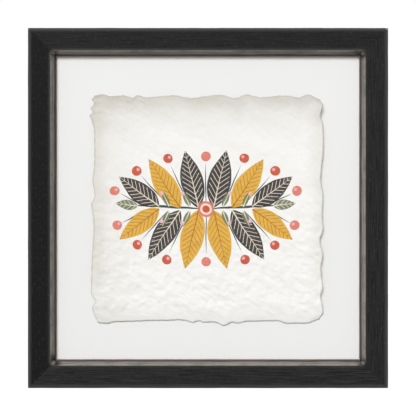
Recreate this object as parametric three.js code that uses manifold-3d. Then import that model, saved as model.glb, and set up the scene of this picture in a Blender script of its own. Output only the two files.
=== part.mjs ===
// A square framed print: a deckle-edged sheet of handmade paper, float-mounted on a white board
// that is set back in a mitred black wood frame, with a sawtooth hanger on the back.
// Millimetres, +Z up. The picture faces -Y and hangs on a wall at Y = 0, and the origin is on that wall,
// at the middle of the hanger.
import * as THREE from "three";
import { mergeVertices } from "three/addons/utils/BufferGeometryUtils.js";
import Module from "manifold-3d";

// Frame
const FRAME_SIDE = 305;
const FRAME_DEPTH = 20;
const RAIL_WIDTH = 23;
const OUTER_ROUND = 3; // roundover of the outer front edge
const CORNER_ROUND = 0.8; // sanding of the four outside corners
const CHAMFER_WIDTH = 3.3; // sloped band round the sight opening, as seen from the front
const CHAMFER_DROP = 3.5;
const SIGHT_CORNER_ROUND = 0.3;
const REBATE_WIDTH = 7;
const MITRE_GAP = 0.15; // taken off each end of a rail

// Board, and the framer's points that hold it from behind
const BOARD_SETBACK = 8; // front of the frame to the front of the board
const BOARD_THICK = 3;
const BOARD_PLAY = 1; // between the board's edge and the rebate wall
const POINT_SIZE = { width: 6, length: 12, thick: 0.6 };
const POINT_BITE = 3.5; // how far a point is driven into its rail
const POINT_FROM_MIDDLE = 70;

// Sheet of paper and the pads it floats on
const SHEET_SIZE = { width: 194, height: 191 };
const SHEET_CENTRE = { x: -0.4, y: -1 };
const SHEET_THICK = 0.8;
const SHEET_CELLS = 36;
const PAD_SIDE = 20;
const PAD_THICK = 1;
const PAD_FROM_MIDDLE = 58;

// Curl and waves of the sheet
const CURL_TOP = 3.8;
const CURL_SIDES = 1.4;
const CURL_BOTTOM = 1;
const CURL_REACH = 40; // how far in from an edge its curl begins
const WAVE_HEIGHT = 0.5;
const WAVE_LENGTH = 31;
const WAVE_SLANT = 0.45;
const PAD_HOLD = 16; // a pad holds the sheet flat about this far out

// Hanger
const STRAP = { length: 46, height: 10, thick: 0.9 };
const STRAP_RISE = 1.3; // how far the middle of the strap stands off its ends
const STRAP_MIDDLE = 20;
const STRAP_BEND = 3;
const TOOTH_COUNT = 7;
const TOOTH_PITCH = 2.6;
const TOOTH_DEPTH = 1.8;
const NAIL = { shank: 0.8, head: 2, headThick: 0.8, headBevel: 0.4, length: 9, tip: 1.5 }; // radii, heights
const NAIL_FROM_MIDDLE = 18;
const NAIL_SIDES = 12;

// Fit
const SEAT_GAP = 0.3; // between pieces that bear on each other
const HOLE_PLAY = 0.3; // round a nail or a point in its wood
const RUN_OUT = 0.3; // how far a cutter passes beyond the face that it cuts
const SANDER_CLEARANCE = 0.05; // keeps the corner rounding off the rails' flat sides

const half = FRAME_SIDE / 2;
const sightHalf = half - RAIL_WIDTH;
const landWidth = RAIL_WIDTH - REBATE_WIDTH;
const boardFront = FRAME_DEPTH - BOARD_SETBACK;
const boardSide = 2 * (sightHalf + REBATE_WIDTH - BOARD_PLAY);
const pointHeight = boardFront - 2 * SEAT_GAP - BOARD_THICK - POINT_SIZE.thick / 2;
const padFront = boardFront + PAD_THICK;
const hangerHeight = half - landWidth / 2;
const hangerReach = SEAT_GAP + STRAP_RISE + STRAP.thick;

const wasm = await Module();
wasm.setup();

// The picture is modelled lying on its back: X to the right, Y up the picture, Z towards the viewer,
// with the back of the frame at Z = 0. The group at the end stands it up.

function solidOf(geometry) {
  const bare = geometry.clone();
  bare.deleteAttribute("normal");
  bare.deleteAttribute("uv");
  const merged = mergeVertices(bare, 1e-4);
  const vertProperties = new Float32Array(merged.attributes.position.array);
  const triVerts = new Uint32Array(merged.index.array);
  return new wasm.Manifold(new wasm.Mesh({ numProp: 3, vertProperties, triVerts }));
}

function geometryOf(solid) {
  const mesh = solid.getMesh();
  const geometry = new THREE.BufferGeometry();
  geometry.setAttribute("position", new THREE.BufferAttribute(mesh.vertProperties, 3));
  geometry.setIndex(new THREE.BufferAttribute(mesh.triVerts, 1));
  geometry.computeVertexNormals();
  return geometry;
}

function boxAt(width, height, depth, x, y, z) {
  return new THREE.BoxGeometry(width, height, depth).translate(x, y, z);
}

function roundedSquare(halfSide, radius) {
  const inner = halfSide - radius;
  const shape = new THREE.Shape();
  shape.absarc(inner, inner, radius, 0, Math.PI / 2);
  shape.absarc(-inner, inner, radius, Math.PI / 2, Math.PI);
  shape.absarc(-inner, -inner, radius, Math.PI, 1.5 * Math.PI);
  shape.absarc(inner, -inner, radius, 1.5 * Math.PI, 2 * Math.PI);
  shape.closePath();
  return shape;
}

// Section of a rail before its inner edge is routed: X inwards from the outer edge, Y forwards from the back.
function railSection() {
  const section = new THREE.Shape();
  section.moveTo(0, 0);
  section.lineTo(landWidth, 0);
  section.lineTo(landWidth, boardFront);
  section.lineTo(RAIL_WIDTH, boardFront);
  section.lineTo(RAIL_WIDTH, FRAME_DEPTH);
  section.lineTo(OUTER_ROUND, FRAME_DEPTH);
  section.absarc(OUTER_ROUND, FRAME_DEPTH - OUTER_ROUND, OUTER_ROUND, Math.PI / 2, Math.PI);
  section.closePath();
  return section;
}

// The bottom rail's bar, its ends cut to the mitres.
function mitredBar() {
  const bar = new THREE.ExtrudeGeometry(railSection(), { depth: 1, bevelEnabled: false, curveSegments: 6 });
  const points = bar.attributes.position;
  for (let i = 0; i < points.count; i++) {
    const inwards = points.getX(i);
    const end = points.getZ(i) > 0.5 ? 1 : -1;
    points.setXYZ(i, end * (half - inwards - MITRE_GAP), inwards - half, points.getY(i));
  }
  return bar;
}

// The routed chamfer as a cutter: it widens towards the front, and its corners widen into cones.
function chamferCutter() {
  const slope = CHAMFER_WIDTH / CHAMFER_DROP;
  const rise = CHAMFER_DROP + 2 * RUN_OUT;
  const narrow = roundedSquare(sightHalf - slope * RUN_OUT, SIGHT_CORNER_ROUND);
  const cutter = new THREE.ExtrudeGeometry(narrow, {
    depth: 1,
    bevelThickness: rise,
    bevelSize: slope * rise,
    bevelSegments: 1,
    curveSegments: 8,
  });
  return cutter.translate(0, 0, FRAME_DEPTH + RUN_OUT);
}

function cornerSander() {
  const outline = roundedSquare(half + SANDER_CLEARANCE, CORNER_ROUND);
  const depth = FRAME_DEPTH + 2 * RUN_OUT;
  const sander = new THREE.ExtrudeGeometry(outline, { depth, bevelEnabled: false, curveSegments: 6 });
  return sander.translate(0, 0, -RUN_OUT);
}

function pointSlot(x) {
  const width = POINT_SIZE.width + 2 * HOLE_PLAY;
  const thick = POINT_SIZE.thick + 2 * HOLE_PLAY;
  const depth = POINT_BITE + HOLE_PLAY + RUN_OUT;
  const rebateWall = landWidth - half;
  return boxAt(width, depth, thick, x, rebateWall + RUN_OUT - depth / 2, pointHeight);
}

function nailHole(x) {
  const depth = NAIL.length + HOLE_PLAY + RUN_OUT;
  const hole = new THREE.CylinderGeometry(NAIL.shank + HOLE_PLAY, NAIL.shank + HOLE_PLAY, depth, NAIL_SIDES);
  return hole.rotateX(Math.PI / 2).translate(x, -hangerHeight, depth / 2 - RUN_OUT);
}

function railSolid() {
  let rail = solidOf(mitredBar()).intersect(solidOf(cornerSander())).subtract(solidOf(chamferCutter()));
  for (const side of [-1, 1]) {
    rail = rail.subtract(solidOf(pointSlot(side * POINT_FROM_MIDDLE)));
  }
  return rail;
}

// Edges of the sheet: pairs of how far along the edge, from its left or upper end, and how far out it bulges.
const DECKLE = {
  top: [
    [0, 0.6], [7, 1.8], [14, 0.1], [25, 0.8], [33, -1.1], [38, 1], [44, -0.8], [69, 0.8], [83, -1.4],
    [108, 1.3], [122, -1.6], [131, 1.7], [144, -0.8], [165, 0.8], [176, -0.9], [185, 1.3], [194, -2.2],
  ],
  bottom: [
    [0, 1], [7, 1.8], [18, 0.2], [57, -0.8], [74, -1.3], [84, 0.8], [88, -0.4], [94, 0.9], [102, 0.5],
    [111, 3.6], [118, 0.9], [123, 1.4], [131, 0], [158, -0.5], [165, 1.7], [183, 1.7], [194, -1.5],
  ],
  left: [
    [0, -1.2], [3.5, 0.9], [6, -1.2], [11, 2], [14, -0.3], [17, 3.2], [20, 0.8], [30, -0.8], [56, -1],
    [71, 0.6], [84, -1.2], [92, 1.6], [106, -0.4], [148, 1.5], [165, 1.9], [172, -1.5], [179, 0.9], [191, -3],
  ],
  right: [
    [0, -2.6], [5, 0.7], [14, -1.3], [22, 1.1], [38, 1.5], [71, -0.9], [83, 1.2], [102, 0.4], [111, 1.4],
    [122, -1.6], [135, 1], [145, -0.8], [163, 0.8], [170, -0.8], [184, 1.2], [191, -1.8],
  ],
};

function deckleCurve(pairs) {
  const along = pairs.map((pair) => pair[0]);
  const out = pairs.map((pair) => pair[1]);
  const curve = new THREE.CubicInterpolant(along, out, 1);
  return (distance) => curve.evaluate(distance)[0];
}

const bulge = {
  top: deckleCurve(DECKLE.top),
  bottom: deckleCurve(DECKLE.bottom),
  left: deckleCurve(DECKLE.left),
  right: deckleCurve(DECKLE.right),
};

const padPlaces = [[-1, -1], [1, -1], [-1, 1], [1, 1]].map(([side, row]) => [
  side * PAD_FROM_MIDDLE,
  row * PAD_FROM_MIDDLE,
]);

// How far a point of the sheet, measured from its middle, is lifted off the pads.
function sheetLift(x, y) {
  const curl = (inset) => Math.max(0, 1 - inset / CURL_REACH) ** 3;
  const wave = (1 + Math.sin((2 * Math.PI * (WAVE_SLANT * x + y)) / WAVE_LENGTH)) / 2;
  const held = padPlaces.map(([px, py]) => 1 - Math.exp(-((x - px) ** 2 + (y - py) ** 2) / PAD_HOLD ** 2));
  const loose = held.reduce((product, value) => product * value, 1);
  const top = CURL_TOP * curl(SHEET_SIZE.height / 2 - y);
  const bottom = CURL_BOTTOM * curl(SHEET_SIZE.height / 2 + y);
  const sides = CURL_SIDES * curl(SHEET_SIZE.width / 2 - Math.abs(x));
  return WAVE_HEIGHT * wave * loose + top + bottom + sides;
}

// The sheet starts as a thin grid, is stretched to its deckle edges, and is then lifted.
function sheetGeometry() {
  const { width, height } = SHEET_SIZE;
  const grid = new THREE.BoxGeometry(width, height, SHEET_THICK, SHEET_CELLS, SHEET_CELLS, 1);
  const points = grid.attributes.position;
  for (let i = 0; i < points.count; i++) {
    const fromLeft = points.getX(i) + width / 2;
    const fromTop = height / 2 - points.getY(i);
    const across = fromLeft / width;
    const down = fromTop / height;
    const x = points.getX(i) + across * bulge.right(fromTop) - (1 - across) * bulge.left(fromTop);
    const y = points.getY(i) + (1 - down) * bulge.top(fromLeft) - down * bulge.bottom(fromLeft);
    points.setXYZ(i, x, y, points.getZ(i) + sheetLift(x, y));
  }
  return grid.translate(SHEET_CENTRE.x, SHEET_CENTRE.y, padFront + SEAT_GAP + SHEET_THICK / 2);
}

// Side view of the strap: X along it, Y away from the wood, bent so that its middle stands off.
function strapSection() {
  const end = STRAP.length / 2;
  const flat = STRAP_MIDDLE / 2;
  const foot = flat + STRAP_BEND;
  const near = SEAT_GAP;
  const bendOut = (STRAP.thick * STRAP_RISE) / STRAP_BEND;
  const points = [
    [-end, near], [-foot, near], [-flat, near + STRAP_RISE],
    [flat, near + STRAP_RISE], [foot, near], [end, near],
    [end, near + STRAP.thick], [foot + bendOut, near + STRAP.thick], [flat + bendOut, hangerReach],
    [-flat - bendOut, hangerReach], [-foot - bendOut, near + STRAP.thick], [-end, near + STRAP.thick],
  ];
  return new THREE.Shape(points.map(([x, y]) => new THREE.Vector2(x, y)));
}

function toothNotch(x) {
  const edge = -STRAP.height / 2;
  const corners = [
    [x - TOOTH_PITCH / 2, edge - RUN_OUT], [x + TOOTH_PITCH / 2, edge - RUN_OUT], [x, edge + TOOTH_DEPTH],
  ];
  const notch = new THREE.Shape(corners.map(([cx, cy]) => new THREE.Vector2(cx, cy)));
  const depth = hangerReach + 2 * RUN_OUT;
  return new THREE.ExtrudeGeometry(notch, { depth, bevelEnabled: false }).translate(0, 0, RUN_OUT - depth);
}

function hangerGeometry() {
  const strap = new THREE.ExtrudeGeometry(strapSection(), { depth: STRAP.height, bevelEnabled: false });
  strap.translate(0, 0, -STRAP.height / 2).rotateX(-Math.PI / 2);
  let solid = solidOf(strap);
  for (let tooth = 0; tooth < TOOTH_COUNT; tooth++) {
    solid = solid.subtract(solidOf(toothNotch((tooth - (TOOTH_COUNT - 1) / 2) * TOOTH_PITCH)));
  }
  for (const side of [-1, 1]) {
    const hole = nailHole(side * NAIL_FROM_MIDDLE).translate(0, hangerHeight, -NAIL.length / 2);
    solid = solid.subtract(solidOf(hole));
  }
  return geometryOf(solid).translate(0, hangerHeight, 0);
}

// A nail, its head on the strap and its shank in the wood, turned round the axis it is driven along.
function nailGeometry() {
  const underHead = -(2 * SEAT_GAP + STRAP.thick);
  const tip = underHead + NAIL.length;
  const top = underHead - NAIL.headThick;
  const profile = [
    [0, top], [NAIL.head - NAIL.headBevel, top], [NAIL.head, top + NAIL.headBevel], [NAIL.head, underHead],
    [NAIL.shank, underHead], [NAIL.shank, tip - NAIL.tip], [0, tip],
  ];
  const outline = profile.map(([radius, along]) => new THREE.Vector2(radius, along));
  return new THREE.LatheGeometry(outline, NAIL_SIDES).rotateX(Math.PI / 2);
}

const blackPaint = new THREE.MeshStandardMaterial({ color: 0x262626, roughness: 0.55, metalness: 0 });
const whitePaint = new THREE.MeshStandardMaterial({ color: 0xeeedeb, roughness: 0.6, metalness: 0 });
const cottonPaper = new THREE.MeshStandardMaterial({ color: 0xefece7, roughness: 0.95, metalness: 0 });
const foamTape = new THREE.MeshStandardMaterial({ color: 0xe4e0d4, roughness: 0.9, metalness: 0 });
const zincSteel = new THREE.MeshStandardMaterial({ color: 0xb9bbbd, roughness: 0.4, metalness: 1 });

const picture = new THREE.Group();

function addPiece(name, geometry, material) {
  const piece = new THREE.Mesh(geometry, material);
  piece.name = name;
  picture.add(piece);
  return piece;
}

// Rails, and the two points in each, are the bottom one turned round the picture's middle.
const plainRail = railSolid();
const nailedRail = [-1, 1].reduce(
  (rail, side) => rail.subtract(solidOf(nailHole(side * NAIL_FROM_MIDDLE))),
  plainRail,
);
["bottom", "right", "top", "left"].forEach((place, quarter) => {
  const turn = (quarter * Math.PI) / 2;
  const rail = geometryOf(place === "top" ? nailedRail : plainRail);
  addPiece(`rail_${place}`, rail, blackPaint).rotation.z = turn;
  [-1, 1].forEach((side, i) => {
    const { width, length, thick } = POINT_SIZE;
    const middle = landWidth - half - POINT_BITE + length / 2;
    const tab = boxAt(width, length, thick, side * POINT_FROM_MIDDLE, middle, pointHeight);
    addPiece(`point_${place}_${i + 1}`, tab, zincSteel).rotation.z = turn;
  });
});

const boardMiddle = boardFront - SEAT_GAP - BOARD_THICK / 2;
addPiece("backing_board", boxAt(boardSide, boardSide, BOARD_THICK, 0, 0, boardMiddle), whitePaint);

padPlaces.forEach(([x, y], i) => {
  const middle = boardFront + PAD_THICK / 2;
  const pad = boxAt(PAD_SIDE, PAD_SIDE, PAD_THICK, x + SHEET_CENTRE.x, y + SHEET_CENTRE.y, middle);
  addPiece(`mounting_pad_${i + 1}`, pad, foamTape);
});
addPiece("paper_sheet", sheetGeometry(), cottonPaper);

addPiece("sawtooth_hanger", hangerGeometry(), zincSteel);
["left", "right"].forEach((side, i) => {
  const nail = addPiece(`hanger_nail_${side}`, nailGeometry(), zincSteel);
  nail.position.set((2 * i - 1) * NAIL_FROM_MIDDLE, hangerHeight, 0);
});

// Stands the picture up, facing -Y, with the hanger's outer face on the wall at the origin.
picture.rotation.x = Math.PI / 2;
picture.position.set(0, -hangerReach, -hangerHeight);

export default picture;
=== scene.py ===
"""A printed sheet of handmade paper, floated on a white board in a rubbed black wood frame, with its stage.

Each piece is modelled lying on its back, X to the right, Y up the picture and Z towards the viewer, with the
back of the frame at Z = 0. STAND then stands it up in the frame that it shares with the solid model.
"""
import math

import bmesh
import bpy
from bpy.props import FloatProperty, FloatVectorProperty, PointerProperty
from mathutils import Matrix, Vector, noise


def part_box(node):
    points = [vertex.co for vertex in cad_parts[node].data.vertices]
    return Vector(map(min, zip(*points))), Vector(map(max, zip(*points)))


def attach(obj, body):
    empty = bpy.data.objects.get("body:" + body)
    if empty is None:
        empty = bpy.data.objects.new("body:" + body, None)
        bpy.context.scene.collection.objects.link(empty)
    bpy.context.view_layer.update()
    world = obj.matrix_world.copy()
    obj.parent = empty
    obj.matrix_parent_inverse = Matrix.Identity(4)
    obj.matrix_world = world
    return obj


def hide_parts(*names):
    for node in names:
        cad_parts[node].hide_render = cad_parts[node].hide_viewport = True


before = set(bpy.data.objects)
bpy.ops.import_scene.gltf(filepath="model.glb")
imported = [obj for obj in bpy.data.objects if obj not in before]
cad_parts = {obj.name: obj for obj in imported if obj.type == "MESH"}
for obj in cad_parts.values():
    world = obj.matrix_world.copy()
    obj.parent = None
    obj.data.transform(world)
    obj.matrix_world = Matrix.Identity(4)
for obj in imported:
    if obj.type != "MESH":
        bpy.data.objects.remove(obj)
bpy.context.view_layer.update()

bl_info = {
    "name": "Framed Paper Print",
    "version": (1, 0, 0),
    "blender": (4, 5, 0),
    "location": "3D View > Sidebar > Framed Print",
    "description": "Builds a deckle-edged print floated in a rubbed black wood frame, and a stage for it",
    "category": "Object",
}

MM = 0.001

# Places read from the solid model
rail_left, rail_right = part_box("rail_left"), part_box("rail_right")
HALF = (rail_right[1].x - rail_left[0].x) / 2
RAIL_WIDTH = rail_right[1].x - rail_right[0].x
SIGHT = HALF - RAIL_WIDTH
BACK = rail_right[1].y
DEPTH = BACK - rail_right[0].y
MIDDLE = (rail_right[0].z + rail_right[1].z) / 2
STAND = Matrix.Translation((0, BACK, MIDDLE)) @ Matrix.Rotation(math.radians(90), 4, "X")
LAY = STAND.inverted()

PLACES = ("bottom", "right", "top", "left")

# How much paint is rubbed off the band, how strongly paler streaks show on the face and how much paint is
# rubbed beside the band, from 0 to 1
# The band's share also paints light from above-left: paler bands on the bottom and right rails, darker on the
# top and left rails.
RAIL_WEAR_AND_LIGHT = {"bottom": 1.0, "right": 1.0, "top": 0.78, "left": 0.82}
RAIL_FACE_STREAKS = {"bottom": 1.0, "right": 0.75, "top": 0.6, "left": 0.05}
SHOULDER_FADE = {"bottom": 0.5, "right": 0.25, "top": 0.8, "left": 0.9}

POINTS_EACH = 2
PADS = 4
RAIL_SLICES = 60
SHEET_CELLS = 200

# Edges of the sheet: how far along, from the left or upper end, and how far out, both in millimetres
DECKLE = {
    "top": (
        (0, 0.6), (7, 1.8), (14, 0.1), (25, 0.8), (33, -1.1), (38, 1), (44, -0.8), (69, 0.8), (83, -1.4),
        (108, 1.3), (122, -1.6), (131, 1.7), (144, -0.8), (165, 0.8), (176, -0.9), (185, 1.3), (194, -2.2),
    ),
    "bottom": (
        (0, 1), (7, 1.8), (18, 0.2), (57, -0.8), (74, -1.3), (84, 0.8), (88, -0.4), (94, 0.9), (102, 0.5),
        (111, 3.6), (118, 0.9), (123, 1.4), (131, 0), (158, -0.5), (165, 1.7), (183, 1.7), (194, -1.5),
    ),
    "left": (
        (0, -1.2), (3.5, 0.9), (6, -1.2), (11, 2), (14, -0.3), (17, 3.2), (20, 0.8), (30, -0.8), (56, -1),
        (71, 0.6), (84, -1.2), (92, 1.6), (106, -0.4), (148, 1.5), (165, 1.9), (172, -1.5), (179, 0.9),
        (191, -3),
    ),
    "right": (
        (0, -2.6), (5, 0.7), (14, -1.3), (22, 1.1), (38, 1.5), (71, -0.9), (83, 1.2), (102, 0.4), (111, 1.4),
        (122, -1.6), (135, 1), (145, -0.8), (163, 0.8), (170, -0.8), (184, 1.2), (191, -1.8),
    ),
}


def srgb(red, green, blue):
    """Linear colour of a screen colour given from 0 to 255."""
    def linear(value):
        value /= 255
        return value / 12.92 if value <= 0.04045 else ((value + 0.055) / 1.055) ** 2.4
    return (linear(red), linear(green), linear(blue))


def length(label, about, default):
    """Property for a size in metres."""
    return FloatProperty(name=label, description=about, default=default, unit="LENGTH", precision=5)


def colour(label, about, default):
    """Property for a linear colour."""
    return FloatVectorProperty(name=label, description=about, default=default, subtype="COLOR", size=3)


class RailSettings(bpy.types.PropertyGroup):
    """Sizes and finish of the wood rails."""

    outer_round: length("Outer round", "Radius of the outer front edge", 3 * MM)
    corner_round: length("Corner round", "Sanding of the outside corners", 0.8 * MM)
    chamfer_width: length("Band width", "Width of the sloped band, seen from the front", 3.3 * MM)
    chamfer_drop: length("Band drop", "How far the band slopes back", 3.5 * MM)
    wall_draft: length("Wall draft", "How far the wall under the band leans in towards the board", 0.7 * MM)
    arris_round: length("Arris", "Softening of every sharp edge", 0.3 * MM)
    wobble: length("Wobble", "Unevenness left by hand sanding", 0.12 * MM)
    paint: colour("Paint", "Black paint", srgb(20, 20, 20))
    # The band colour is paint rubbed thin and also a painted reflection of the white board in the sloped
    # band.
    rubbed: colour("Rubbed paint", "Paint rubbed thin on the band", srgb(138, 135, 130))
    wood: colour("Wood", "Bare wood where the paint is gone", srgb(172, 158, 140))


class BoardSettings(bpy.types.PropertyGroup):
    """Finish of the board behind the sheet."""

    edge_round: length("Edge", "Softening of the board's edges", 0.4 * MM)
    white: colour("White", "Painted front", srgb(239, 239, 238))
    brown: colour("Brown", "Bare hardboard on the back", srgb(128, 92, 62))


class SheetSettings(bpy.types.PropertyGroup):
    """Size, curl and tone of the handmade sheet."""

    width: length("Width", "Sheet width without the torn edge", 194 * MM)
    height: length("Height", "Sheet height without the torn edge", 191 * MM)
    middle_x: length("Middle across", "Sheet's middle from the picture's", -0.4 * MM)
    middle_y: length("Middle up", "Sheet's middle from the picture's", -1 * MM)
    thick: length("Thickness", "Thickness of the paper", 0.5 * MM)
    curl_top: length("Top curl", "How far the top edge curls forward", 3.8 * MM)
    curl_sides: length("Side curl", "How far the sides curl forward", 1.4 * MM)
    droop: length("Droop", "How far the bottom edge falls back towards the board", 1.15 * MM)
    droop_reach: length("Droop reach", "How far in from the bottom edge it falls back", 16 * MM)
    curl_reach: length("Curl reach", "How far in from an edge its curl begins", 40 * MM)
    wave_height: length("Wave height", "Height of the long waves", 0.5 * MM)
    wave_length: length("Wave length", "Length of the long waves", 31 * MM)
    crumple: length("Crumple", "Height of the soft dents", 1.4 * MM)
    crease: length("Crease", "Depth of the fine creases", 0.55 * MM)
    fray: length("Fray", "Roughness of the torn edge", 0.5 * MM)
    paper: colour("Paper", "Tone of the paper", srgb(248, 247, 244))


class PrintSettings(bpy.types.PropertyGroup):
    """Inks of the printed spray of leaves."""

    charcoal: colour("Charcoal", "Large leaves", srgb(52, 48, 46))
    mustard: colour("Mustard", "Leaves behind", srgb(226, 174, 58))
    ochre: colour("Ochre", "Veins of the mustard leaves", srgb(178, 118, 42))
    sage: colour("Sage", "Small leaves", srgb(118, 128, 98))
    green: colour("Dark green", "Stems", srgb(62, 78, 68))
    cream: colour("Cream", "Veins of the large leaves", srgb(238, 226, 206))
    scarlet: colour("Orange red", "Large berries", srgb(206, 84, 54))
    coral: colour("Coral", "Small berries", srgb(224, 124, 108))
    pink: colour("Pink", "Buds", srgb(232, 184, 186))
    middle_x: length("Middle across", "Print's middle from the picture's", -1.7 * MM)
    middle_y: length("Middle up", "Print's middle from the picture's", -0.85 * MM)
    scale: FloatProperty(name="Scale", description="Size of the print", default=0.92)


class FittingSettings(bpy.types.PropertyGroup):
    """Metal and foam pieces behind the picture."""

    zinc: colour("Zinc", "Plated steel", srgb(190, 192, 194))
    foam: colour("Foam", "Mounting tape", srgb(228, 224, 212))
    edge_round: length("Edge", "Softening of the metal edges", 0.12 * MM)


class StageSettings(bpy.types.PropertyGroup):
    """Camera, floor and lights."""

    camera_distance: length("Camera distance", "From the front of the frame", 750 * MM)
    view_width: length("View width", "Width seen at the front of the frame", 351 * MM)
    floor_size: length("Floor size", "Side of the floor", 6.0)
    floor: colour("Floor", "Paint of the floor", srgb(180, 180, 180))
    key_strength: FloatProperty(name="Key strength", description="Light from above the viewer", default=2.27)
    fill_strength: FloatProperty(name="Fill strength", description="Light on the back", default=1.4)
    spread: FloatProperty(
        name="Spread", description="Softness of the shadows", default=math.radians(28), subtype="ANGLE",
    )
    ambient: FloatProperty(name="Ambient", description="Strength of the white surroundings", default=0.36)


class FramedPrintSettings(bpy.types.PropertyGroup):
    """All settings of the framed print."""

    rails: PointerProperty(type=RailSettings)
    board: PointerProperty(type=BoardSettings)
    sheet: PointerProperty(type=SheetSettings)
    inks: PointerProperty(type=PrintSettings)
    fittings: PointerProperty(type=FittingSettings)
    stage: PointerProperty(type=StageSettings)


# Finishes


class Value:
    """One output of a node; arithmetic on it adds Math nodes."""

    def __init__(self, finish, socket):
        self.finish = finish
        self.socket = socket

    def __add__(self, other):
        return self.finish.math("ADD", self, other)

    def __radd__(self, other):
        return self.finish.math("ADD", other, self)

    def __sub__(self, other):
        return self.finish.math("SUBTRACT", self, other)

    def __rsub__(self, other):
        return self.finish.math("SUBTRACT", other, self)

    def __mul__(self, other):
        return self.finish.math("MULTIPLY", self, other)

    def __rmul__(self, other):
        return self.finish.math("MULTIPLY", other, self)

    def __truediv__(self, other):
        return self.finish.math("DIVIDE", self, other)

    def __pow__(self, other):
        return self.finish.math("POWER", self, other)

    def __abs__(self):
        return self.finish.math("ABSOLUTE", self)


class Finish:
    """Node tree of one material, or of the surroundings."""

    def __init__(self, owner):
        self.owner = owner
        owner.use_nodes = True
        self.tree = owner.node_tree
        self.tree.nodes.clear()

    def node(self, kind, settings=None, inputs=None, output=0):
        """Adds a node: its settings come first, then its inputs as values, colours or links."""
        made = self.tree.nodes.new(kind)
        for name, value in (settings or {}).items():
            setattr(made, name, value)
        for name, value in (inputs or {}).items():
            if isinstance(value, Value):
                self.tree.links.new(value.socket, made.inputs[name])
            else:
                made.inputs[name].default_value = value
        return Value(self, made.outputs[output]) if made.outputs else None

    def math(self, operation, *values):
        return self.node("ShaderNodeMath", {"operation": operation}, dict(enumerate(values)))

    def vector(self, operation, *values, output=0):
        return self.node("ShaderNodeVectorMath", {"operation": operation}, dict(enumerate(values)), output)

    def join(self, x, y, z):
        return self.node("ShaderNodeCombineXYZ", {}, {"X": x, "Y": y, "Z": z})

    def split(self, vector):
        node = self.node("ShaderNodeSeparateXYZ", {}, {"Vector": vector}).socket.node
        return [Value(self, socket) for socket in node.outputs]

    def place(self):
        """Position on the lying picture: across, up and towards the viewer, from the middle of its back."""
        coords = self.node("ShaderNodeTexCoord", output="Object")
        x, y, z = self.split(coords)
        return x, z - MIDDLE, BACK - y

    def noise(self, vector, scale, detail=2.0, rough=0.5, output="Fac"):
        inputs = {"Vector": vector, "Scale": scale, "Detail": detail, "Roughness": rough}
        return self.node("ShaderNodeTexNoise", {}, inputs, output)

    def ramp(self, value, low, high):
        """Smooth step from 0 at low to 1 at high."""
        inputs = {"Value": value, "From Min": low, "From Max": high}
        return self.node("ShaderNodeMapRange", {"interpolation_type": "SMOOTHSTEP"}, inputs)

    def mix(self, factor, first, second):
        """Colour between two colours."""
        inputs = {0: factor, 6: rgba(first), 7: rgba(second)}
        return self.node("ShaderNodeMix", {"data_type": "RGBA"}, inputs, 2)

    def surface(self, bump=None, **inputs):
        """Ends the tree in a Principled shader; bump is a height in metres and its strength."""
        sockets = {name.replace("_", " "): value for name, value in inputs.items()}
        if bump:
            height, strength = bump
            relief = {"Height": height, "Strength": strength, "Distance": 1.0}
            sockets["Normal"] = self.node("ShaderNodeBump", {}, relief)
        shader = self.node("ShaderNodeBsdfPrincipled", {}, sockets)
        self.node("ShaderNodeOutputMaterial", {}, {"Surface": shader})
        return self.owner


def rgba(value):
    """Colour with its alpha, or a link as it is."""
    return value if isinstance(value, Value) else (*value, 1.0)


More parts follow.
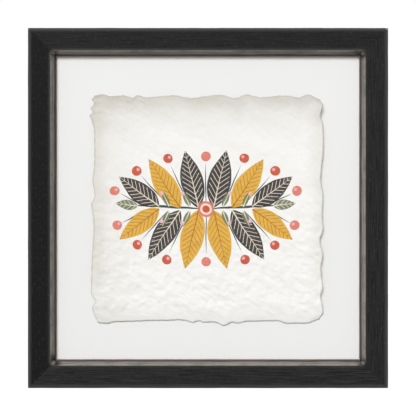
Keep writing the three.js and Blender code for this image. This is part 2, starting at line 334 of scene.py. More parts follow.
def paint_finish(rails, place):
    """Black paint on wood, brushed along the rail, rubbed thin on the sloped band and bare at the corners;
    the band's grey is also a painted reflection of the white board, with a painted highlight along its outer
    arris.
    """
    finish = Finish(bpy.data.materials.new(f"rubbed_black_{place}"))
    across, up, out = finish.place()
    along, over = (up, across) if place in ("left", "right") else (across, up)
    spot = finish.join(across, up, out)
    streaks = finish.noise(finish.join(along * 40, over * 1100, out * 1100), 1.0, 3.0, 0.6)
    patches = finish.noise(spot, 85, 3.0, 0.6)
    flecks = finish.noise(finish.join(along * 320, over * 700, out * 700), 1.0, 3.0, 0.6)

    beyond_x = finish.math("MAXIMUM", abs(across) - SIGHT, 0)
    beyond_y = finish.math("MAXIMUM", abs(up) - SIGHT, 0)
    beyond = (beyond_x ** 2 + beyond_y ** 2) ** 0.5 + (streaks - 0.5) * (0.5 * MM)
    from_corner = SIGHT - finish.math("MINIMUM", abs(across), abs(up)) + (patches - 0.5) * (14 * MM)
    wear_and_side_light = finish.ramp(from_corner, -2 * MM, 7 * MM) * RAIL_WEAR_AND_LIGHT[place]
    set_back = DEPTH - out

    # The band: paint rubbed thin, and a painted reflection of the white board, paler on the rails that face
    # the light.
    band = finish.ramp(beyond, 0.3 * MM, 0.7 * MM) * (1 - finish.ramp(beyond, 3.1 * MM, 3.8 * MM))
    band = band * (0.6 + 0.4 * finish.ramp(streaks * 0.7 + patches * 0.3, 0.35, 0.6)) * wear_and_side_light
    # Bare wood along the band's outer arris, with a painted highlight along it.
    arris_wood_and_highlight = 1 - finish.ramp(abs(beyond - rails.chamfer_width + 0.3 * MM), 0.2 * MM, 0.8 * MM)
    arris_wood_and_highlight = arris_wood_and_highlight * finish.ramp(patches, 0.36, 0.6) * wear_and_side_light
    wall = finish.ramp(set_back, rails.chamfer_drop + 1 * MM, rails.chamfer_drop + 1.8 * MM)
    wall = wall * (1 - finish.ramp(beyond, 0.6 * MM, 1.2 * MM))
    nook_x = abs(across) - SIGHT - 1.3 * MM
    nook_y = abs(up) - SIGHT - 1.3 * MM
    nook = (nook_x ** 2 + nook_y ** 2) ** 0.5 + (patches - 0.5) * (5 * MM)
    nook = 1 - finish.ramp(nook, 0.2 * MM, 1.9 * MM)

    tip_x = HALF - abs(across)
    tip_y = HALF - abs(up)
    tip = (tip_x ** 2 + tip_y ** 2) ** 0.5
    corner = 1 - finish.ramp(tip + (patches - 0.5) * (7 * MM), 0.6 * MM, 2.8 * MM)
    rim = finish.math("MINIMUM", tip_x, tip_y)
    edge = 1 - finish.ramp(rim + (streaks - 0.5) * (1.2 * MM), -0.4 * MM, 4.6 * MM)
    shoulder = finish.ramp(beyond, 2.4 * MM, 3.4 * MM) * (1 - finish.ramp(beyond, 2 * MM, 7.6 * MM)) ** 2

    tone = finish.mix(finish.ramp(streaks, 0.25, 0.75) * RAIL_FACE_STREAKS[place], rails.paint, srgb(52, 51, 51))
    tone = finish.mix(finish.ramp(flecks, 0.52, 0.78) * 0.3, tone, srgb(80, 78, 77))
    handled = srgb(104, 102, 100)
    tone = finish.mix(edge * 0.62, tone, handled)
    tone = finish.mix(shoulder * SHOULDER_FADE[place] * 0.7, tone, handled)
    tone = finish.mix(band, tone, rails.rubbed)
    tone = finish.mix(arris_wood_and_highlight * 0.4, tone, rails.wood)
    tone = finish.mix(wall * 0.85, tone, srgb(158, 140, 126))
    tone = finish.mix(nook * 0.4, tone, srgb(172, 167, 160))
    tone = finish.mix(corner * 0.9, tone, rails.wood)
    height = streaks * (0.12 * MM) + patches * (0.1 * MM)
    rough = 0.56 + band * 0.15 + streaks * 0.14
    return finish.surface((height, 0.6), Base_Color=tone, Roughness=rough, Specular_IOR_Level=0.1)


def bare_wood_finish(place):
    """Unpainted softwood on the back of a rail and in its rebate, with the grain along the rail."""
    finish = Finish(bpy.data.materials.new(f"bare_wood_{place}"))
    across, up, out = finish.place()
    along, over = (up, across) if place in ("left", "right") else (across, up)
    drift = finish.noise(finish.join(along * 14, over * 30, out * 30), 1.0, 2.0) * 3
    rings = finish.noise(finish.join(along * 9 + drift, over * 420 + drift, out * 420), 1.0, 3.0, 0.6)
    pores = finish.noise(finish.join(along * 130, over * 2200, out * 2200), 1.0, 2.0)
    clouds = finish.noise(finish.join(across, up, out), 24, 2.0)
    tone = finish.mix(finish.ramp(rings, 0.3, 0.7), srgb(186, 148, 106), srgb(214, 182, 140))
    tone = finish.mix(finish.ramp(pores, 0.55, 0.75) * 0.4, tone, srgb(128, 94, 64))
    tone = finish.mix(finish.ramp(clouds, 0.4, 0.8) * 0.25, tone, srgb(160, 122, 84))
    height = rings * (0.12 * MM) + pores * (0.05 * MM)
    return finish.surface((height, 0.5), Base_Color=tone, Roughness=0.8)


def white_board_finish(board):
    """Satin white paint with a faint roller texture and a few small scuffs."""
    finish = Finish(bpy.data.materials.new("white_board"))
    place = finish.join(*finish.place())
    roller = finish.noise(place, 900, 2.0)
    clouds = finish.noise(place, 14, 2.0)
    cells = finish.node("ShaderNodeTexVoronoi", {}, {"Vector": place, "Scale": 34}, "Distance")
    grit = finish.noise(place, 420, 2.0)
    scuffs = (1 - finish.ramp(cells + (grit - 0.5) * 0.05, 0.012, 0.035)) * finish.ramp(clouds, 0.48, 0.6)
    tone = finish.mix(clouds * 0.2, board.white, srgb(234, 233, 231))
    tone = finish.mix(scuffs * 0.35, tone, srgb(150, 146, 140))
    return finish.surface((roller * (0.03 * MM), 0.4), Base_Color=tone, Roughness=0.55 + roller * 0.1)


def hardboard_finish(board):
    """Brown hardboard, with the fibre of its rough side."""
    finish = Finish(bpy.data.materials.new("brown_hardboard"))
    place = finish.join(*finish.place())
    fibres = finish.noise(place, 520, 4.0, 0.7)
    clouds = finish.noise(place, 30, 3.0)
    tone = finish.mix(finish.ramp(fibres, 0.3, 0.7), board.brown, srgb(150, 112, 78))
    tone = finish.mix(clouds * 0.3, tone, srgb(108, 76, 52))
    return finish.surface((fibres * (0.25 * MM), 0.6), Base_Color=tone, Roughness=0.85)


def paper_tone(finish, sheet, across, up, out):
    """Colour and relief of the bare handmade paper, with painted shade towards its top, left and side edges
    where the sheet curls, and a darker torn edge with a painted shadow line.
    """
    place = finish.join(across, up, out)
    clouds = finish.noise(place, 38, 4.0, 0.6)
    felt = finish.noise(place, 420, 4.0, 0.65)
    fibres = finish.noise(place, 1500, 2.0)
    tone = finish.mix(clouds * 0.2, sheet.paper, srgb(233, 229, 222))
    tone = finish.mix(finish.ramp(felt, 0.62, 0.8) * 0.25, tone, srgb(222, 216, 206))
    inset = finish.node("ShaderNodeAttribute", {"attribute_name": "inset"}, output="Fac")
    # The torn edge is darker as thin, torn fibre and also as a painted shadow line along it.
    thin = 1 - finish.ramp(inset + (felt - 0.5) * (0.9 * MM), 0.2 * MM, 1.5 * MM)
    # Painted shade of the curled edges: darker near the top and side edges, across the top and towards the
    # left edge.
    painted_edge_shade = 1 - finish.ramp(inset + (clouds - 0.5) * (16 * MM), 0, 16 * MM)
    painted_edge_shade = painted_edge_shade * finish.ramp(up, -90 * MM, -40 * MM)
    painted_top_shade = 1 - finish.ramp(sheet.height / 2 - up + (clouds - 0.5) * (24 * MM), 0, 40 * MM)
    painted_left_shade = 1 - finish.ramp(across + sheet.width / 2 + (clouds - 0.5) * (40 * MM), 0, 50 * MM)
    tone = finish.mix(painted_edge_shade * 0.45 + painted_left_shade * 0.3 + painted_top_shade * 0.4, tone, srgb(220, 216, 206))
    # The darker torn edge and its painted shadow line are weaker along the bottom edge.
    thin = thin * (0.2 + 0.35 * finish.ramp(up, -94 * MM, -84 * MM))
    tone = finish.mix(thin, tone, srgb(184, 177, 166))
    height = felt * (0.28 * MM) + fibres * (0.05 * MM)
    return tone, height, felt


def bare_paper_finish(sheet):
    """Handmade paper as it is on the back and on the torn edge."""
    finish = Finish(bpy.data.materials.new("bare_paper"))
    across, up, out = finish.place()
    tone, height, _ = paper_tone(finish, sheet, across, up, out)
    return finish.surface((height, 0.7), Base_Color=tone, Roughness=0.95)


class Spray:
    """The printed spray: leaves, stems and berries laid over each other on the paper, both halves alike."""

    SOFT_EDGE = 0.35 * MM
    VEIN = 0.5 * MM

    def __init__(self, finish, tone, place, grain):
        self.finish = finish
        self.tone = tone
        self.place = place
        self.grain = grain

    def lay(self, mask, ink):
        """Prints an ink over what is there; the felt of the paper shows through it."""
        self.tone = self.finish.mix(mask * self.grain, self.tone, ink)

    def inside(self, distance):
        """1 where a distance is positive, soft at the edge."""
        edge = self.SOFT_EDGE
        return self.finish.ramp(distance, -edge / 2, edge / 2)

    def leaf(self, foot, lean, size, inks, veins=0):
        """A pointed leaf from its foot, leaning in degrees from upright, with a midrib and slanting veins."""
        long, wide = size[0] * MM, size[1] * MM
        settings = {"vector_type": "TEXTURE"}
        inputs = {
            "Vector": self.place,
            "Location": (foot[0] * MM, foot[1] * MM, 0),
            "Rotation": (0, 0, math.radians(-lean)),
        }
        local = self.finish.node("ShaderNodeMapping", settings, inputs)
        across, along, _ = self.finish.split(local)
        part = self.finish.node("ShaderNodeClamp", {}, {"Value": along / long})
        swell = part ** 0.82
        outline = swell * (1 - swell) * (2 * wide)
        side = abs(across)
        blade = self.inside(outline - side - self.SOFT_EDGE)
        body, rib = inks
        self.lay(blade, body)
        midrib = self.inside((1 - part) * self.VEIN + 0.1 * MM - side)
        if veins:
            pitch = long / veins
            slant = (along - side * 1.1) / pitch
            stripe = abs(self.finish.math("FRACT", slant) - 0.5) * pitch
            lines = self.inside(self.VEIN * 0.75 - stripe) * self.inside(outline * 0.8 - side)
            midrib = self.finish.math("MAXIMUM", midrib, lines)
        self.lay(midrib * blade, rib)

    def berry(self, middle, radius, ink, shine):
        """A round berry with a paler spot."""
        point = (middle[0] * MM, middle[1] * MM, 0)
        distance = self.finish.vector("DISTANCE", self.place, point, output="Value")
        self.lay(self.inside(radius * MM - distance), ink)
        spot = ((middle[0] - 0.3 * radius) * MM, (middle[1] + 0.3 * radius) * MM, 0)
        distance = self.finish.vector("DISTANCE", self.place, spot, output="Value")
        self.lay(self.inside(radius * 0.32 * MM - distance), shine)


def printed_paper_finish(sheet, inks):
    """Handmade paper with a spray of leaves and berries printed on it."""
    finish = Finish(bpy.data.materials.new("printed_paper"))
    across, up, out = finish.place()
    place = finish.join(across, up, out)
    tone, height, felt = paper_tone(finish, sheet, across, up, out)

    drift = finish.vector("SUBTRACT", finish.noise(place, 45, 2.0, output="Color"), (0.5, 0.5, 0.5))
    drift = finish.vector("MULTIPLY", drift, (2.4 * MM, 2.4 * MM, 0))
    wavy = finish.vector("ADD", finish.join(across, up, 0), drift)
    wavy_x, wavy_y, _ = finish.split(wavy)
    folded = finish.join(abs(wavy_x - inks.middle_x) / inks.scale, (wavy_y - inks.middle_y) / inks.scale, 0)
    grain = 0.97 - finish.ramp(felt, 0.56, 0.74) * 0.3

    spray = Spray(finish, tone, folded, grain)
    green, cream = tuple(inks.green), tuple(inks.cream)
    mustard = (tuple(inks.mustard), tuple(inks.ochre))
    charcoal = (tuple(inks.charcoal), cream)
    sage = (tuple(inks.sage), cream)
    scarlet, coral, pink = tuple(inks.scarlet), tuple(inks.coral), tuple(inks.pink)
    # The main stem and the stalks of the berries
    spray.leaf((-2, 0), 87, (84, 3), (green, green))
    upper = ((0, 0, 48), (15, 24, 50), (33, 42, 46), (52, 64, 36))
    lower = ((0, 180, 50), (15, 156, 52), (33, 138, 46), (52, 118, 34))
    for start, lean, reach in upper + lower:
        spray.leaf((start, 1), lean, (reach, 1.7), (green, green))
        end = (start + reach * math.sin(math.radians(lean)), 1 + reach * math.cos(math.radians(lean)))
        spray.berry(end, 4.4, scarlet if start % 2 else coral, pink)
    # Leaves along the stem, dark and light by turns
    spray.leaf((7, 1), 13, (55, 22), charcoal, 11)
    spray.leaf((7, -1), 167, (56, 22), mustard, 11)
    spray.leaf((24, 1), 33, (54, 21), mustard, 11)
    spray.leaf((24, -1), 147, (55, 21), charcoal, 11)
    spray.leaf((43, 2), 53, (47, 19), charcoal, 10)
    spray.leaf((43, 0), 127, (47, 19), mustard, 10)
    spray.leaf((62, 3), 84, (22, 10), sage, 5)
    for start, rise in ((17, 9), (36, 9), (17, -8), (36, -7)):
        spray.leaf((start - 2, 0.2 * rise), 24 if rise > 0 else 156, (17, 6), sage)
        spray.berry((start + 5, 1.6 * rise), 1.9, pink, cream)
    # The rosette where the two halves meet
    spray.berry((0, 0), 7.6, coral, coral)
    spray.berry((0, 0), 5.4, cream, cream)
    spray.berry((0, 0), 3.4, scarlet, scarlet)
    return finish.surface((height, 0.7), Base_Color=spray.tone, Roughness=0.92)


def zinc_finish(fittings):
    """Bright zinc plating, spangled and finely brushed."""
    finish = Finish(bpy.data.materials.new("zinc_plate"))
    place = finish.join(*finish.place())
    spangle = finish.noise(place, 420, 3.0, 0.6)
    brush = finish.noise(finish.vector("MULTIPLY", place, (300, 4200, 4200)), 1.0, 2.0)
    tone = finish.mix(finish.ramp(spangle, 0.3, 0.7) * 0.5, tuple(fittings.zinc), srgb(150, 152, 156))
    rough = 0.28 + spangle * 0.2 + brush * 0.12
    return finish.surface((brush * (0.02 * MM), 0.5), Base_Color=tone, Metallic=1.0, Roughness=rough)


def foam_finish(fittings):
    """Cream foam tape with open cells."""
    finish = Finish(bpy.data.materials.new("foam_tape"))
    place = finish.join(*finish.place())
    cells = finish.node("ShaderNodeTexVoronoi", {}, {"Vector": place, "Scale": 2200}, "Distance")
    tone = finish.mix(finish.ramp(cells, 0.1, 0.6), srgb(196, 190, 176), tuple(fittings.foam))
    return finish.surface((cells * (0.2 * MM), 0.6), Base_Color=tone, Roughness=0.9)


def floor_finish(stage):
    """White sweep: shadows on it are faint to the eye, and it lights the object as plain white paint does."""
    finish = Finish(bpy.data.materials.new("pale_floor"))
    paint = finish.node("ShaderNodeBsdfDiffuse", {}, {"Color": rgba(tuple(stage.floor))})
    glow = finish.node("ShaderNodeEmission", {}, {"Color": (1, 1, 1, 1), "Strength": 1.16})
    seen = finish.node("ShaderNodeLightPath", {}, {}, "Is Camera Ray")
    sweep = finish.node("ShaderNodeMixShader", {}, {0: seen * 0.88, 1: paint, 2: glow})
    finish.node("ShaderNodeOutputMaterial", {}, {"Surface": sweep})
    return finish.owner


# Modelling


def lying_box(node):
    """A node's box in the lying picture: its lowest and highest corner."""
    corners = [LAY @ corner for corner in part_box(node)]
    low = Vector(map(min, *corners))
    high = Vector(map(max, *corners))
    return low, high


def verts_of(geometry):
    return [item for item in geometry if isinstance(item, bmesh.types.BMVert)]


def edges_of(geometry):
    return [item for item in geometry if isinstance(item, bmesh.types.BMEdge)]


def everything(bm):
    return bm.verts[:] + bm.edges[:] + bm.faces[:]


def soften(bm, edges, offset, segments=2):
    bmesh.ops.bevel(
        bm, geom=edges, offset=offset, segments=segments, profile=0.5, affect="EDGES", material=-1,
        clamp_overlap=True,
    )


def sharp_edges(bm, degrees=25):
    limit = math.radians(degrees)
    return [edge for edge in bm.edges if edge.is_manifold and edge.calc_face_angle() > limit]


def extruded(bm, outline, lift):
    """A closed prism on an outline of points, extruded by a vector."""
    face = bm.faces.new([bm.verts.new(point) for point in outline])
    grown = bmesh.ops.extrude_face_region(bm, geom=[face])
    top = verts_of(grown["geom"])
    bmesh.ops.translate(bm, vec=lift, verts=top)
    bmesh.ops.recalc_face_normals(bm, faces=bm.faces)
    return top


def block(low, high, edge_round):
    """A box between two corners, with softened edges."""
    bm = bmesh.new()
    bmesh.ops.create_cube(bm, size=1)
    bmesh.ops.scale(bm, vec=high - low, verts=bm.verts)
    bmesh.ops.translate(bm, vec=(low + high) / 2, verts=bm.verts)
    soften(bm, bm.edges[:], edge_round)
    return bm


def loose_object(bm):
    mesh = bpy.data.meshes.new("loose")
    bm.to_mesh(mesh)
    made = bpy.data.objects.new("loose", mesh)
    bpy.context.scene.collection.objects.link(made)
    return made


def trimmed(bm, tool, operation):
    """The first shape, cut or trimmed by the second."""
    body, cutter = loose_object(bm), loose_object(tool)
    cut = body.modifiers.new("cut", "BOOLEAN")
    cut.object = cutter
    cut.operation = operation
    cut.solver = "EXACT"
    result = bmesh.new()
    result.from_object(body, bpy.context.evaluated_depsgraph_get())
    for used in (body, cutter):
        mesh = used.data
        bpy.data.objects.remove(used)
        bpy.data.meshes.remove(mesh)
    bm.free()
    tool.free()
    bmesh.ops.remove_doubles(result, verts=result.verts, dist=0.002 * MM)
    return result


def add_piece(name, bm, materials, node=None, sharp=40):
    """Stands a modelled piece up, gives it its finishes, and puts it in place of its solid."""
    bmesh.ops.transform(bm, matrix=STAND, verts=bm.verts)
    for face in bm.faces:
        face.smooth = True
    mesh = bpy.data.meshes.new(name)
    bm.to_mesh(mesh)
    bm.free()
    mesh.set_sharp_from_angle(angle=math.radians(sharp))
    for material in materials:
        mesh.materials.append(material)
    piece = bpy.data.objects.new(name, mesh)
    bpy.context.scene.collection.objects.link(piece)
    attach(piece, "root")
    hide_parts(node or name)
    return piece


def keep_flats_flat(piece):
    """Normals weighted by face size, so that softened edges don't shade the flats."""
    weighted = piece.modifiers.new("flat faces", "WEIGHTED_NORMAL")
    weighted.keep_sharp = True


# Rails


def rounded_square(bm, half, radius, low, high, spread=0.0):
    """A square prism with round corners, whose top is spread outwards."""
    inner = half - radius
    corners = [(half, half, low), (-half, half, low), (-half, -half, low), (half, -half, low)]
    face = bm.faces.new([bm.verts.new(corner) for corner in corners])
    bmesh.ops.bevel(
        bm, geom=list(face.verts), offset=radius, segments=8, profile=0.5, affect="VERTICES", material=-1,
    )
    grown = bmesh.ops.extrude_face_region(bm, geom=bm.faces[:])
    for vert in verts_of(grown["geom"]):
        vert.co.z = high
        clamped = Vector((max(-inner, min(inner, vert.co.x)), max(-inner, min(inner, vert.co.y)), high))
        vert.co += (vert.co - clamped).normalized() * spread
    bmesh.ops.recalc_face_normals(bm, faces=bm.faces)
    return bm


def bottom_rail(rails, lip):
    """The bottom rail: a rebated bar, mitred, routed with the sloped band and sanded at its ends."""
    bm = bmesh.new()
    land = lying_box("backing_board")[0].y - 1 * MM
    section = [
        (-HALF, 0), (land, 0), (land, lip), (rails.wall_draft - SIGHT, lip),
        (-SIGHT, DEPTH - rails.chamfer_drop), (-SIGHT, DEPTH), (-HALF, DEPTH),
    ]
    extruded(bm, [(-HALF, y, z) for y, z in section], (2 * HALF, 0, 0))
    near = 0.01 * MM
    outer = [
        edge for edge in bm.edges
        if all(vert.co.y < near - HALF and vert.co.z > DEPTH - near for vert in edge.verts)
    ]
    soften(bm, outer, rails.outer_round, 6)
    for side in (-1, 1):
        cut = bmesh.ops.bisect_plane(
            bm, geom=everything(bm), plane_co=(0, 0, 0), plane_no=(side, 1, 0), clear_outer=True,
        )
        bmesh.ops.edgeloop_fill(bm, edges=edges_of(cut["geom_cut"]))
    bmesh.ops.recalc_face_normals(bm, faces=bm.faces)

    corners = rounded_square(bmesh.new(), HALF + 0.05 * MM, rails.corner_round, -1 * MM, DEPTH + 1 * MM)
    bm = trimmed(bm, corners, "INTERSECT")
    run = 0.5 * MM
    slope = rails.chamfer_width / rails.chamfer_drop
    low = DEPTH - rails.chamfer_drop - run
    router = rounded_square(
        bmesh.new(), SIGHT - slope * run, 0.2 * MM, low, DEPTH + run, slope * (rails.chamfer_drop + 2 * run),
    )
    bm = trimmed(bm, router, "DIFFERENCE")
    mitre = 0.1 * MM
    lengthwise = [
        edge for edge in sharp_edges(bm)
        if not all(abs(abs(vert.co.x) + vert.co.y) < mitre for vert in edge.verts)
    ]
    soften(bm, lengthwise, rails.arris_round)
    return bm


def slice_and_sand(bm, wobble, seed):
    """Slices a lying bottom rail across its length, then lets its surface wander a little."""
    for i in range(1, RAIL_SLICES):
        x = HALF * (2 * i / RAIL_SLICES - 1)
        bmesh.ops.bisect_plane(bm, geom=everything(bm), plane_co=(x, 0, 0), plane_no=(1, 0, 0))
    for vert in bm.verts:
        place = Vector((vert.co.x * 70 + seed, vert.co.y * 160, vert.co.z * 160))
        from_mitre = -vert.co.y - abs(vert.co.x)
        loose = max(0.0, min(1.0, from_mitre / (12 * MM)))
        if vert.co.z > 1 * MM:
            vert.co += noise.noise_vector(place) * wobble * loose


class FRAMEDPRINT_OT_rails(bpy.types.Operator):
    """Build the four mitred rails with their rubbed paint"""

    bl_idname = "framed_print.rails"
    bl_label = "Rails"

    def execute(self, context):
        settings = context.scene.framed_print
        lip = lying_box("backing_board")[1].z + 0.3 * MM
        model = bottom_rail(settings.rails, lip)
        for quarter, place in enumerate(PLACES):
            bm = model.copy()
            slice_and_sand(bm, settings.rails.wobble, quarter * 13.7)
            for face in bm.faces:
                middle = face.calc_center_median()
                hidden = middle.z < 0.5 * MM or (middle.y > -HALF + 12 * MM and middle.z < lip + 0.2 * MM)
                face.material_index = 1 if hidden else 0
            turn = Matrix.Rotation(math.radians(90 * quarter), 3, "Z")
            bmesh.ops.rotate(bm, cent=(0, 0, 0), matrix=turn, verts=bm.verts)
            finishes = [paint_finish(settings.rails, place), bare_wood_finish(place)]
            rail = add_piece(f"{place}_rail", bm, finishes, f"rail_{place}")
            keep_flats_flat(rail)
        model.free()
        return {"FINISHED"}


class FRAMEDPRINT_OT_board(bpy.types.Operator):
    """Build the white board behind the sheet"""

    bl_idname = "framed_print.board"
    bl_label = "Board"

    def execute(self, context):
        board = context.scene.framed_print.board
        low, high = lying_box("backing_board")
        bm = block(low, high, board.edge_round)
        for face in bm.faces:
            face.material_index = 0 if face.calc_center_median().z > high.z - 0.6 * MM else 1
        finishes = [white_board_finish(board), hardboard_finish(board)]
        keep_flats_flat(add_piece("white_board", bm, finishes, "backing_board"))
        return {"FINISHED"}


class FRAMEDPRINT_OT_pads(bpy.types.Operator):
    """Build the foam pads that the sheet floats on"""

    bl_idname = "framed_print.pads"
    bl_label = "Pads"

    def execute(self, context):
        foam = foam_finish(context.scene.framed_print.fittings)
        for i in range(1, PADS + 1):
            node = f"mounting_pad_{i}"
            bm = block(*lying_box(node), 0.2 * MM)
            keep_flats_flat(add_piece(f"foam_pad_{i}", bm, [foam], node))
        return {"FINISHED"}


# Sheet


def bulge(side, along):
    """How far an edge stands out, eased from one listed place to the next."""
    pairs = DECKLE[side]
    along /= MM
    for (before, first), (after, second) in zip(pairs, pairs[1:]):
        if along <= after:
            part = max(0.0, (along - before) / (after - before))
            return (first + (second - first) * part * part * (3 - 2 * part)) * MM
    return pairs[-1][1] * MM


def curl(inset, reach):
    """Part of the full curl at a distance in from an edge."""
    return max(0.0, min(1.0, 1 - inset / reach)) ** 3


def sheet_lift(sheet, x, y):
    """How far a point of the sheet, from its middle, is lifted off its pads."""
    from_bottom = sheet.height / 2 + y
    calm = max(0.0, min(1.0, from_bottom / (14 * MM)))
    wave = (1 + math.sin(2 * math.pi * (0.45 * x + y) / sheet.wave_length)) / 2
    lift = sheet.wave_height * wave * calm
    lift += sheet.curl_top * curl(sheet.height / 2 - y, sheet.curl_reach)
    sag = 0.95 + 0.3 * noise.noise(Vector((x * 55, 0, 11.3)))
    lift -= sheet.droop * sag * curl(from_bottom, sheet.droop_reach)
    lift += sheet.curl_sides * calm * curl(sheet.width / 2 - abs(x), sheet.curl_reach)
    lower = 0.35 + 0.65 * max(0.0, min(1.0, 0.5 - y / (80 * MM)))
    slant, rise = 0.8 * x - 0.6 * y, 0.6 * x + 0.8 * y
    dents = noise.noise(Vector((slant * 110, rise * 180, 3.1)))
    dents += 0.6 * noise.noise(Vector((slant * 260, rise * 340, 7.7)))
    lift += sheet.crumple * lower * calm * (0.5 + 0.5 * dents)
    folds = abs(noise.noise(Vector((slant * 120, rise * 230, 17.9))))
    folds += 0.5 * abs(noise.noise(Vector((slant * 250, rise * 430, 23.3))))
    lift -= sheet.crease * lower * calm * (folds - 0.4)
    return lift


class FRAMEDPRINT_OT_sheet(bpy.types.Operator):
    """Build the torn, curled sheet of handmade paper with its print"""

    bl_idname = "framed_print.sheet"
    bl_label = "Sheet"

    def execute(self, context):
        settings = context.scene.framed_print
        sheet = settings.sheet
        bm = bmesh.new()
        bmesh.ops.create_grid(bm, x_segments=SHEET_CELLS, y_segments=SHEET_CELLS, size=0.5)
        back = lying_box("paper_sheet")[0].z
        inset = bm.verts.layers.float.new("inset")
        taper = bm.verts.layers.deform.new()
        for vert in bm.verts:
            across, down = vert.co.x + 0.5, 0.5 - vert.co.y
            vert[inset] = min(min(across, 1 - across) * sheet.width, min(down, 1 - down) * sheet.height)
            vert[taper][0] = min(1.0, vert[inset] / (4 * MM))
            from_left, from_top = across * sheet.width, down * sheet.height
            x = vert.co.x * sheet.width
            y = vert.co.y * sheet.height
            z = back + sheet.thick + sheet_lift(sheet, x, y)
            x += across * bulge("right", from_top) - (1 - across) * bulge("left", from_top)
            y += (1 - down) * bulge("top", from_left) - down * bulge("bottom", from_left)
            rim = max(abs(vert.co.x), abs(vert.co.y)) * 2
            torn = sheet.fray * max(0.0, rim - 0.97) / 0.03
            x += torn * noise.noise(Vector((x * 420, y * 420, 1.3)))
            y += torn * noise.noise(Vector((x * 420, y * 420, 5.9)))
            vert.co = (x + sheet.middle_x, y + sheet.middle_y, z)
        finishes = [printed_paper_finish(sheet, settings.inks), bare_paper_finish(sheet)]
        paper = add_piece("printed_sheet", bm, finishes, "paper_sheet", 70)
        paper.vertex_groups.new(name="taper")
        body = paper.modifiers.new("thickness", "SOLIDIFY")
        body.vertex_group = "taper"
        body.thickness_vertex_group = 0.2
        body.thickness = sheet.thick
        body.offset = -1
        body.material_offset = 1
        body.material_offset_rim = 1
        return {"FINISHED"}


# Fittings


class FRAMEDPRINT_OT_points(bpy.types.Operator):
    """Build the framer's points that hold the board"""

    bl_idname = "framed_print.points"
    bl_label = "Points"

    def execute(self, context):
        fittings = context.scene.framed_print.fittings
        zinc = zinc_finish(fittings)
        for place in PLACES:
            for i in range(1, POINTS_EACH + 1):
                node = f"point_{place}_{i}"
                bm = block(*lying_box(node), fittings.edge_round)
                keep_flats_flat(add_piece(f"framers_{node}", bm, [zinc], node))
        return {"FINISHED"}


class FRAMEDPRINT_OT_hanger(bpy.types.Operator):
    """Build the sawtooth hanger and its nails"""

    bl_idname = "framed_print.hanger"
    bl_label = "Hanger"

    def execute(self, context):
        fittings = context.scene.framed_print.fittings
        zinc = zinc_finish(fittings)
        low, high = lying_box("sawtooth_hanger")
        self.strap(fittings, zinc, low, high)
        for side in ("left", "right"):
            self.nail(fittings, zinc, side)
        return {"FINISHED"}

    def strap(self, fittings, zinc, low, high):
        """A flat strap with teeth along its lower edge, its middle bent away from the wood."""
        thick = 0.9 * MM
        teeth, pitch, bite = 7, 2.6 * MM, 1.8 * MM
        first = -teeth * pitch / 2
        outline = [(low.x, high.y), (low.x, low.y), (first, low.y)]
        for tooth in range(teeth):
            start = first + tooth * pitch
            outline += [(start + pitch / 2, low.y + bite), (start + pitch, low.y)]
        outline += [(high.x, low.y), (high.x, high.y)]
        bm = bmesh.new()
        flat = high.z - thick
        extruded(bm, [(x, y, flat) for x, y in outline], (0, 0, thick))
        rise = high.z - thick - low.z
        foot, flank = 13 * MM, 10 * MM
        for x in (-foot, -flank, flank, foot):
            bmesh.ops.bisect_plane(bm, geom=everything(bm), plane_co=(x, 0, 0), plane_no=(1, 0, 0))
        for vert in bm.verts:
            part = max(0.0, min(1.0, (foot - abs(vert.co.x)) / (foot - flank)))
            vert.co.z -= rise * part
        soften(bm, sharp_edges(bm, 30), fittings.edge_round)
        strap = add_piece("hanger_strap", bm, [zinc], "sawtooth_hanger")
        keep_flats_flat(strap)

    def nail(self, fittings, zinc, side):
        """A nail spun round its own axis: a low domed head and a pointed shank."""
        node = f"hanger_nail_{side}"
        low, high = lying_box(node)
        middle = (low + high) / 2
        radius = (high.x - low.x) / 2
        shank, tip = 0.8 * MM, 1.5 * MM
        under = low.z + 0.8 * MM
        profile = [
            (0, low.z), (radius * 0.55, low.z + 0.12 * MM), (radius * 0.9, low.z + 0.4 * MM),
            (radius, under - 0.1 * MM), (radius * 0.96, under),
            (shank, under), (shank, high.z - tip), (0, high.z),
        ]
        bm = bmesh.new()
        points = [bm.verts.new((middle.x + r, middle.y, z)) for r, z in profile]
        edges = [bm.edges.new(pair) for pair in zip(points, points[1:])]
        bmesh.ops.spin(
            bm, geom=points + edges, cent=middle, axis=(0, 0, 1), angle=math.tau, steps=24, use_merge=True,
        )
        bmesh.ops.remove_doubles(bm, verts=bm.verts, dist=0.01 * MM)
        bmesh.ops.recalc_face_normals(bm, faces=bm.faces)
        add_piece(f"strap_nail_{side}", bm, [zinc], node)


# Stage


def soft_sun(name, place, spread, strength):
    """An even light that falls from a place towards the picture, with soft shadows."""
    data = bpy.data.lights.new(name, "SUN")
    data.angle = spread
    data.energy = strength
    made = bpy.data.objects.new(name, data)
    made.location = place
    made.rotation_euler = (-Vector(place)).to_track_quat("-Z", "Y").to_euler()
    bpy.context.scene.collection.objects.link(made)


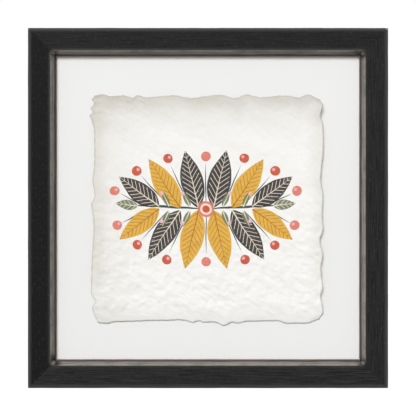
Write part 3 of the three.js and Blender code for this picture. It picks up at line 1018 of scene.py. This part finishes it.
class FRAMEDPRINT_OT_stage(bpy.types.Operator):
    """Build the camera, the pale floor, the white surroundings and the soft lights"""

    bl_idname = "framed_print.stage"
    bl_label = "Stage"

    def execute(self, context):
        scene = context.scene
        stage = scene.framed_print.stage
        front = BACK - DEPTH

        camera = bpy.data.cameras.new("camera")
        camera.lens = camera.sensor_width * stage.camera_distance / stage.view_width
        viewer = bpy.data.objects.new("camera", camera)
        viewer.location = (0, front - stage.camera_distance, MIDDLE)
        viewer.rotation_euler = (math.radians(90), 0, 0)
        scene.collection.objects.link(viewer)
        scene.camera = viewer

        bm = bmesh.new()
        bmesh.ops.create_grid(bm, x_segments=1, y_segments=1, size=stage.floor_size / 2)
        bmesh.ops.translate(bm, vec=(0, front, MIDDLE - HALF - 1 * MM), verts=bm.verts)
        mesh = bpy.data.meshes.new("floor")
        bm.to_mesh(mesh)
        bm.free()
        mesh.materials.append(floor_finish(stage))
        floor = bpy.data.objects.new("floor", mesh)
        scene.collection.objects.link(floor)

        soft_sun("key", (-0.5, -2.4, 1.25), stage.spread, stage.key_strength)
        soft_sun("back_fill", (0.6, 2.4, 1.3), stage.spread, stage.fill_strength)
        self.surroundings(scene, stage)
        scene.view_settings.view_transform = "Standard"
        return {"FINISHED"}

    def surroundings(self, scene, stage):
        """White to the eye, and a softer white to the object."""
        studio = Finish(bpy.data.worlds.new("studio"))
        seen = studio.node("ShaderNodeLightPath", {}, {}, "Is Camera Ray")
        white = studio.node("ShaderNodeBackground", {}, {"Color": (1, 1, 1, 1)})
        soft = studio.node("ShaderNodeBackground", {}, {"Color": (1, 1, 1, 1), "Strength": stage.ambient})
        both = studio.node("ShaderNodeMixShader", {}, {0: seen, 1: soft, 2: white})
        studio.node("ShaderNodeOutputWorld", {}, {"Surface": both})
        scene.world = studio.owner


class FRAMEDPRINT_PT_pieces(bpy.types.Panel):
    """Lists the pieces of the framed print"""

    bl_label = "Framed Print"
    bl_idname = "FRAMEDPRINT_PT_pieces"
    bl_space_type = "VIEW_3D"
    bl_region_type = "UI"
    bl_category = "Framed Print"

    def draw(self, context):
        for operator in OPERATORS:
            self.layout.operator(operator.bl_idname)


SETTINGS = (
    RailSettings,
    BoardSettings,
    SheetSettings,
    PrintSettings,
    FittingSettings,
    StageSettings,
    FramedPrintSettings,
)
OPERATORS = (
    FRAMEDPRINT_OT_rails,
    FRAMEDPRINT_OT_board,
    FRAMEDPRINT_OT_pads,
    FRAMEDPRINT_OT_sheet,
    FRAMEDPRINT_OT_points,
    FRAMEDPRINT_OT_hanger,
    FRAMEDPRINT_OT_stage,
)


def register():
    for item in (*SETTINGS, *OPERATORS, FRAMEDPRINT_PT_pieces):
        bpy.utils.register_class(item)
    bpy.types.Scene.framed_print = PointerProperty(type=FramedPrintSettings)


def unregister():
    del bpy.types.Scene.framed_print
    for item in reversed((*SETTINGS, *OPERATORS, FRAMEDPRINT_PT_pieces)):
        bpy.utils.unregister_class(item)


def main():
    register()
    bpy.ops.framed_print.rails()
    bpy.ops.framed_print.board()
    bpy.ops.framed_print.pads()
    bpy.ops.framed_print.sheet()
    bpy.ops.framed_print.points()
    bpy.ops.framed_print.hanger()
    bpy.ops.framed_print.stage()


if __name__ == "__main__":
    main()
